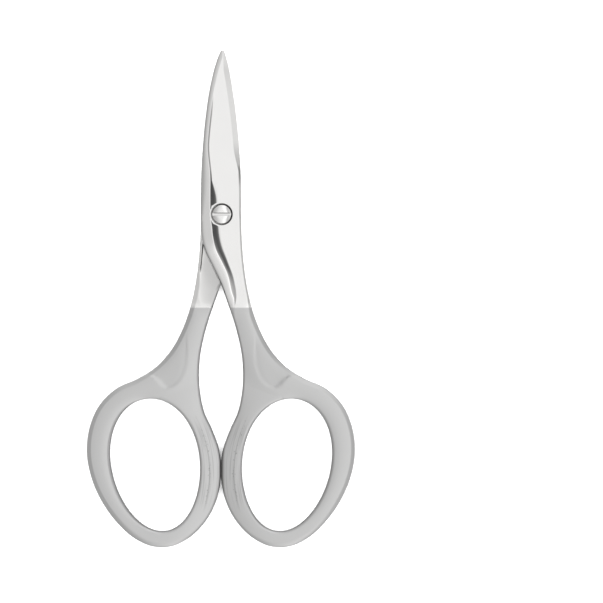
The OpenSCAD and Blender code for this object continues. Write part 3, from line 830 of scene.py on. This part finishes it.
def worn_lines(metal, x, y, speck):
    """Wear of the satin: a band and a line along an arc on each ring and specks, with painted shade where the
    rings touch.
    """
    sideways = (x - PIVOT.x / MM).math("ABSOLUTE")
    # The arc's middle is 33.5 mm below the frame's origin, where it is 2.3 mm from the midline
    beside = sideways - ((y + 33.5).math("POWER", 2) * 0.0215 + 2.3)
    streaks = metal.noise(metal.join(beside * 3.5, y * 0.1), 1.0, 2.0)
    apart = beside.math("ABSOLUTE")
    band = metal.ramp(apart, 2.2, 1.2) * metal.ramp(streaks, 0.48, 0.66) * 0.3
    line = metal.ramp(apart, 0.2, 0.05) * 0.35
    specks = metal.ramp(apart, 0.4, 0.25) * metal.ramp(speck, 0.6, 0.66) * 0.5
    # Painted shade where the rings touch
    touch = metal.ramp(sideways, 0.6, 0.1) * 0.9
    return band + line + specks + touch


def steel(name, look, satin_below, seat):
    """Steel that is polished down to a line across the handles and satin beyond it, with a painted dark
    reflection on the facet and painted shade in the seat, along the crossing and where the rings touch.
    """
    metal = Metal(name)
    cloud, grain = metal.noise(metal.place, 0.35, 3.0), metal.noise(metal.place, 9.0, 2.0)
    speck = metal.noise(metal.place, 2.6, 4.0)
    drawn_out = metal.add("ShaderNodeMapping", inputs={"Vector": metal.place, "Scale": (9, 0.35, 9)})
    lines = metal.noise(drawn_out, 1.0, 3.0)
    x, y, _ = metal.parts(metal.place)
    satin = metal.ramp(y, satin_below + SATIN_BLUR, satin_below - SATIN_BLUR)
    rough = look.polish + (cloud - 0.5) * 0.05 + (lines - 0.5) * 0.06
    rough = rough * (1 - satin) + (look.satin + (grain - 0.5) * 0.1) * satin
    height = lines * 0.4 * (1 - satin) + grain * satin * 1.6

    tint = metal.blend(cloud, rgba(look.bare, 0.97), rgba(look.bare))
    tint = metal.blend(satin, tint, rgba(look.satin_colour))
    # The wear and the painted shade fade out above the rings and below the place where they touch
    worn = worn_lines(metal, x, y, speck) * satin * metal.ramp(y, -22.0, -26.0) * metal.ramp(y, -41.0, -38.0)
    tint = metal.blend(worn, tint, rgba(look.satin_colour, 0.4))
    # The facet attribute paints a dark reflection on the facet, and painted shade beside it, along the outer
    # edge, in the groove and on the pocket floors
    tint = metal.blend(metal.attribute("facet"), tint, rgba(look.facet_colour))
    # Painted shade in the gap round the screw head, and a painted shade line along the crossing and the inner
    # edge
    grime = (metal.ramp(metal.radius, seat + 0.01, seat - 0.03) * metal.grime_share).math(
        "MAXIMUM", metal.ramp(metal.attribute("crossing"), 0.3, 0.05) * 0.6)
    tint = metal.blend(grime, tint, rgba(look.grime_colour))
    return metal.finish(tint, rough + grime * 0.4, height, 0.25, 0.004)


def screw_steel(name, look, z):
    """Bright turned steel with fine rings round the screw's axis, and painted shade in the slot and at the
    rim.
    """
    metal = Metal(name)
    rings = metal.add("ShaderNodeTexNoise", {"noise_dimensions": "1D"}, {
        "W": metal.radius * 14, "Detail": 3.0})
    cloud = metal.noise(metal.place, 0.9, 3.0)
    rough = look.polish + 0.04 + (rings - 0.5) * 0.08 + (cloud - 0.5) * 0.05
    tint = metal.blend(cloud, rgba(look.bare, 0.96), rgba(look.bare))

    _, y, height = metal.parts(metal.centred)
    rim, half_slot, floor = z.head_d / 2, z.slot_w / 2, z.joint_t / 2 + z.dome_h - z.slot_depth
    # Painted shade in the slot, darkest along its upper wall, and round the rim of the head
    in_slot = metal.ramp(height, floor + 0.1, floor + 0.04) * metal.ramp(metal.radius, rim, rim - 0.3)
    upper = metal.ramp(y, half_slot - 0.2, half_slot - 0.06) * 0.75
    lower = metal.ramp(y, -half_slot + 0.12, -half_slot) * 0.25
    grime = (metal.ramp(metal.radius, rim - 0.03, rim) * metal.grime_share).math(
        "MAXIMUM", in_slot * (upper + lower + 0.12))
    tint = metal.blend(grime, tint, rgba(look.grime_colour))
    return metal.finish(tint, rough, rings, 0.3, 0.006)


class Look(bpy.types.PropertyGroup):
    """Finish of the steel, and the studio."""
    bare: colour("Steel colour", "Colour of the bare steel", (0.86, 0.855, 0.845))
    satin_colour: colour("Satin colour", "Colour of the satin steel", (0.55, 0.55, 0.547))
    # Painted dark reflection on the facet beside the rail, and painted shade on edges, the groove and the
    # pocket floors
    facet_colour: colour("Facet colour", "Colour of the dark facet beside the rail", (0.065, 0.065, 0.065))
    # Painted shade in the gap round the screw head, in the screw slot and along the crossing
    grime_colour: colour("Grime colour", "Colour of the dark gap round the screw head", (0.05, 0.05, 0.05))
    polish: share("Polish roughness", "Roughness of the polished blades and joint", 0.12)
    satin: share("Satin roughness", "Roughness of the satin handles", 0.32)
    floor: colour("Floor colour", "Colour of the floor", (0.93, 0.93, 0.93))


def sizes_of(context):
    """All sizes of the scissors, in millimetres."""
    scene = context.scene
    return Millimetres(scene.scissor_blades, scene.scissor_joint, scene.scissor_handles, scene.scissor_screw)


def seat_profile(z):
    """Bore, counterbore with its broken edge and spot face for the screw head, as one cutting shape."""
    face = z.joint_t / 2 - z.face_drop
    bore, counter = z.neck_d / 2 + z.run_clear, z.head_d / 2 + z.head_gap
    spot, top, ring = counter + z.spot_w, z.joint_t, face - SPOT_DEPTH
    return [(0, -1), (bore, -1), (bore, face - z.seat_depth), (counter, face - z.seat_depth),
            (counter, ring - EDGE_BREAK), (counter + EDGE_BREAK, ring), (spot, ring), (spot, top), (0, top)]


def hole_profile(z):
    """Round hole for the threaded end of the screw."""
    r = z.thread_d / 2 + THREAD_CLEAR
    return [(0, -z.joint_t), (r, -z.joint_t), (r, 1), (0, 1)]


def turned_over(points, turned):
    """A half's own points, in millimetres, as they lie in the pair: the rear half is turned about Y."""
    return points * (turned, 1, turned) + (0, PIVOT.y / MM, PIVOT.z / MM)


def place_on_pivot(points):
    """Points about the Z axis, in millimetres, moved to the axis of the pivot."""
    return points + np.array(PIVOT) / MM


class SCISSORS_OT_halves(bpy.types.Operator):
    """Make the two forged halves with their blades, rails, shanks and finger rings"""
    bl_idname = "scissors.make_halves"
    bl_label = "Scissor Halves"

    def execute(self, context):
        z, look = sizes_of(context), context.scene.scissor_look
        shape = HalfShape(z)
        satin_below, seat = PIVOT.y / MM - z.lap_end - SATIN_PAST, z.head_d / 2 + z.head_gap
        for body, turned, profile in (("front", 1, seat_profile(z)), ("rear", -1, hole_profile(z))):
            # facet carries painted darkness; crossing places a painted shade line
            points, faces, facet, crossing = half_mesh(shape, turned)
            half = mesh_object(f"{body}_forging", turned_over(points, turned), faces,
                               facet=facet, crossing=crossing)
            points, faces = shape.lap_cutter()
            cut(half, turned_over(points, turned), faces)
            points, faces = revolved(profile)
            cut(half, place_on_pivot(points), faces)
            half.data.materials.append(steel(f"{body}_steel_finish", look, satin_below, seat))
            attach(half, body)
            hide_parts(f"{body}_half")
        return {"FINISHED"}


def screw_tree():
    """A turned screw: a profile revolved about the Z axis, with a thread, a domed head and a slot."""
    tree = bpy.data.node_groups.new("turned_screw", "GeometryNodeTree")
    graph = Graph(tree)
    lengths = (
        "Head Diameter", "Head Base", "Head Brim", "Dome Rise", "Neck Diameter", "Shoulder",
        "Thread Diameter", "Thread Depth", "Pitch", "End", "Chamfer", "Fillet", "Slot Width", "Slot Floor")
    for name in lengths:
        tree.interface.new_socket(name, in_out="INPUT", socket_type="NodeSocketFloat")
    tree.interface.new_socket("Place", in_out="INPUT", socket_type="NodeSocketVector")
    tree.interface.new_socket("Finish", in_out="INPUT", socket_type="NodeSocketMaterial")
    tree.interface.new_socket("Geometry", in_out="OUTPUT", socket_type="NodeSocketGeometry")
    given = graph.add("NodeGroupInput").socket.node.outputs
    size = {name: Wire(graph, given[name]) for name in (*lengths, "Place", "Finish")}
    head, neck, thread = (size[name] / 2 for name in ("Head Diameter", "Neck Diameter", "Thread Diameter"))
    base, brim, end, chamfer = (size[name] for name in ("Head Base", "Head Brim", "End", "Chamfer"))
    shoulder, fillet = size["Shoulder"], size["Fillet"]

    # The profile: one point for each corner, then a fillet on each
    corners = [(0, brim), (head, brim), (head, base), (neck, base), (neck, shoulder), (thread, shoulder),
               (thread, end + chamfer), (thread - chamfer, end), (0, end)]
    index = graph.add("GeometryNodeInputIndex")
    line = graph.add("GeometryNodeMeshLine", inputs={"Count": len(corners)})
    radius, height = (graph.choose(index, [corner[k] for corner in corners]) for k in (0, 1))
    line = graph.add("GeometryNodeSetPosition", inputs={
        "Geometry": line, "Position": graph.join(radius, 0.0, height)})
    curve = graph.add("GeometryNodeMeshToCurve", inputs={"Mesh": line})
    curve = graph.add("GeometryNodeFilletCurve", {"mode": "POLY"}, {
        "Curve": curve, "Count": 4, "Radius": fillet, "Limit Radius": True})
    curve = graph.add("GeometryNodeResampleCurve", {"mode": "LENGTH"}, {
        "Curve": curve, "Length": PROFILE_STEP * MM})

    # The profile turned about the axis, as a grid with a row for each point of the curve
    rows = graph.add("GeometryNodeAttributeDomainSize", {"component": "CURVE"}, {"Geometry": curve})
    grid = graph.add("GeometryNodeMeshGrid", inputs={"Vertices X": rows, "Vertices Y": TURN_STEPS + 1})
    row = (index / (TURN_STEPS + 1)).math("FLOOR")
    angle = (index - row * (TURN_STEPS + 1)) * (2 * math.pi / TURN_STEPS)
    place = graph.add("GeometryNodeInputPosition")
    place = graph.add("GeometryNodeSampleIndex", {"data_type": "FLOAT_VECTOR"}, {
        "Geometry": curve, "Value": place, "Index": row})
    r, _, z = graph.parts(place)

    # A V groove along a helix on the threaded end, and the dome on the head
    wave = (z / size["Pitch"] + angle / (2 * math.pi)).math("FRACT")
    vee = 1 - (wave * 2 - 1).math("ABSOLUTE") * 1.6
    cut_in = vee.math("MAXIMUM", 0) * size["Thread Depth"] * graph.ramp(
        z, shoulder, shoulder - RUN_OUT * MM)
    r = r - cut_in * graph.ramp(r, thread * 0.6, thread * 0.95)
    dome = (1 - (r / head).math("POWER", 4)) * size["Dome Rise"]
    z = z + dome * graph.ramp(z, brim - fillet, brim)
    turned = graph.join(r * angle.math("COSINE"), r * angle.math("SINE"), z)
    body = graph.add("GeometryNodeSetPosition", inputs={"Geometry": grid, "Position": turned})
    body = graph.add("GeometryNodeMergeByDistance", inputs={"Geometry": body, "Distance": SCREW_WELD * MM})

    # The slot
    bar_size = graph.join(size["Head Diameter"] * 2, size["Slot Width"], size["Head Diameter"])
    bar = graph.add("GeometryNodeMeshCube", inputs={"Size": bar_size})
    lift = graph.join(z=size["Slot Floor"] + size["Head Diameter"] / 2)
    bar = graph.add("GeometryNodeTransform", inputs={"Geometry": bar, "Translation": lift})
    body = graph.add("GeometryNodeMeshBoolean", {"operation": "DIFFERENCE", "solver": "EXACT"}, {
        0: body, 1: bar})

    # Smooth faces with crisp corners, moved to the pivot
    bend = graph.add("GeometryNodeInputMeshEdgeAngle")
    crisp = graph.add("FunctionNodeCompare", inputs={0: bend, 1: math.radians(38)})
    body = graph.add("GeometryNodeSetShadeSmooth", {"domain": "FACE"}, {0: body, "Shade Smooth": True})
    body = graph.add("GeometryNodeSetShadeSmooth", {"domain": "EDGE"}, {
        0: body, "Selection": crisp, "Shade Smooth": False})
    body = graph.add("GeometryNodeTransform", inputs={"Geometry": body, "Translation": size["Place"]})
    body = graph.add("GeometryNodeRealizeInstances", inputs={0: body})
    body = graph.add("GeometryNodeSetMaterial", inputs={"Geometry": body, "Material": size["Finish"]})
    graph.add("NodeGroupOutput", inputs={0: body})
    return tree


class SCISSORS_OT_screw(bpy.types.Operator):
    """Make the slotted pivot screw with its domed head and threaded end"""
    bl_idname = "scissors.make_screw"
    bl_label = "Pivot Screw"

    def execute(self, context):
        z = sizes_of(context)
        face, top = z.joint_t / 2 - z.face_drop, z.joint_t / 2 + z.dome_h
        brim = face + BRIM_UP
        values = {
            "Head Diameter": z.head_d, "Head Base": face - z.seat_depth + z.run_clear, "Head Brim": brim,
            "Dome Rise": top - brim, "Neck Diameter": z.neck_d, "Shoulder": -z.lap_gap / 2,
            "Thread Diameter": z.thread_d, "Thread Depth": z.groove, "Pitch": z.pitch,
            "End": -z.joint_t / 2 - z.end_out, "Chamfer": END_CHAMFER, "Fillet": z.fillet,
            "Slot Width": z.slot_w, "Slot Floor": top - z.slot_depth}
        made = bpy.data.objects.new("turned_screw", bpy.data.meshes.new("turned_screw"))
        context.scene.collection.objects.link(made)
        step = made.modifiers.new("turned_screw", "NODES")
        step.node_group = screw_tree()
        for socket in step.node_group.interface.items_tree:
            if socket.in_out == "INPUT" and socket.name in values:
                step[socket.identifier] = values[socket.name] * MM
            elif socket.name == "Place":
                step[socket.identifier] = PIVOT
            elif socket.name == "Finish":
                step[socket.identifier] = screw_steel("screw_steel_finish", context.scene.scissor_look, z)
        as_plain_mesh(made)
        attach(made, "rear")
        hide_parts("pivot_screw")
        return {"FINISHED"}


# The studio, in metres: half of the floor's width, the lamp above it, and the camera's place and field
FLOOR_HALF, FLOOR_ROUGH = 1.5, 0.9
LAMP_SIZE, LAMP_UP, LAMP_WATTS = 1.2, 1.4, 40
EYE, FIELD, SENSOR_MM, SIGHT = (0.01542, -0.00054, 1.0), 0.11553, 36, (0.01, 20)
# Greys of the walls that the steel reflects, from the left, -1, to the right, 1, and of what lies below
WALLS = ((-1, 0.42), (-0.85, 0.52), (-0.64, 0.6), (-0.44, 0.68), (-0.29, 0.81), (-0.12, 0.95), (0.02, 1.01),
         (0.08, 1.15), (0.16, 1.25), (0.42, 1.2), (0.52, 0.75), (0.65, 0.6), (0.97, 0.84))
BELOW = (0.32, 0.32, 0.32)


def studio_sky():
    """A world of soft grey walls, brighter to the right."""
    sky = bpy.data.worlds.new("studio")
    sky.use_nodes = True
    sky.node_tree.nodes.clear()
    graph = Graph(sky.node_tree)
    x, _, z = graph.parts(graph.add("ShaderNodeTexCoord", output="Generated"))
    stops = [(place / 2 + 0.5, grey) for place, grey in WALLS]
    shade = graph.add("ShaderNodeValToRGB", {"stops": stops}, {0: x / 2 + 0.5})
    shade = graph.blend(graph.ramp(z, -0.3, -0.6), shade, rgba(BELOW))
    back = graph.add("ShaderNodeBackground", inputs={"Color": shade, "Strength": 1.0})
    graph.add("ShaderNodeOutputWorld", inputs={"Surface": back})
    return sky


class SCISSORS_OT_stage(bpy.types.Operator):
    """Make the floor, the soft studio light and the camera"""
    bl_idname = "scissors.make_stage"
    bl_label = "Studio"

    def execute(self, context):
        scene = context.scene
        mesh, w = bpy.data.meshes.new("floor"), FLOOR_HALF
        mesh.from_pydata([(-w, -w, 0), (w, -w, 0), (w, w, 0), (-w, w, 0)], [], [(0, 1, 2, 3)])
        floor = bpy.data.objects.new("floor", mesh)
        floor.visible_glossy = False
        scene.collection.objects.link(floor)
        pale = bpy.data.materials.new("pale_floor")
        pale.use_nodes = True
        shader = pale.node_tree.nodes["Principled BSDF"]
        shader.inputs["Base Color"].default_value = rgba(scene.scissor_look.floor)
        shader.inputs["Roughness"].default_value = FLOOR_ROUGH
        mesh.materials.append(pale)
        scene.world = studio_sky()

        lamp = bpy.data.lights.new("soft_top_light", "AREA")
        lamp.shape, lamp.size, lamp.energy = "DISK", LAMP_SIZE, LAMP_WATTS
        top = bpy.data.objects.new("soft_top_light", lamp)
        top.location = (0, 0, LAMP_UP)
        top.visible_glossy = False
        scene.collection.objects.link(top)

        lens = bpy.data.cameras.new("camera")
        lens.sensor_width = SENSOR_MM
        lens.lens = lens.sensor_width * (EYE[2] - PIVOT.z) / FIELD
        lens.clip_start, lens.clip_end = SIGHT
        eye = bpy.data.objects.new("camera", lens)
        eye.location = EYE
        scene.collection.objects.link(eye)
        scene.camera = eye
        scene.view_settings.view_transform = "Standard"
        return {"FINISHED"}


GROUPS = {"scissor_blades": BladeSizes, "scissor_joint": JointSizes, "scissor_handles": HandleSizes,
          "scissor_screw": ScrewSizes, "scissor_look": Look}
OPERATORS = (SCISSORS_OT_halves, SCISSORS_OT_screw, SCISSORS_OT_stage)


class SCISSORS_PT_panel(bpy.types.Panel):
    """Lists the sizes and the steps that make the scissors"""
    bl_idname = "SCISSORS_PT_panel"
    bl_label = "Cuticle Scissors"
    bl_space_type = "VIEW_3D"
    bl_region_type = "UI"
    bl_category = "Scissors"

    def draw(self, context):
        layout = self.layout
        for name, kind in GROUPS.items():
            box = layout.box()
            group = getattr(context.scene, name)
            for prop in kind.__annotations__:
                box.prop(group, prop)
        for kind in OPERATORS:
            layout.operator(kind.bl_idname)


CLASSES = (*GROUPS.values(), *OPERATORS, SCISSORS_PT_panel)


def register():
    for kind in CLASSES:
        bpy.utils.register_class(kind)
    for name, kind in GROUPS.items():
        setattr(bpy.types.Scene, name, bpy.props.PointerProperty(type=kind))


def unregister():
    for name in GROUPS:
        delattr(bpy.types.Scene, name)
    for kind in reversed(CLASSES):
        bpy.utils.unregister_class(kind)


def main():
    register()
    bpy.ops.scissors.make_stage()
    bpy.ops.scissors.make_halves()
    bpy.ops.scissors.make_screw()


if __name__ == "__main__":
    main()
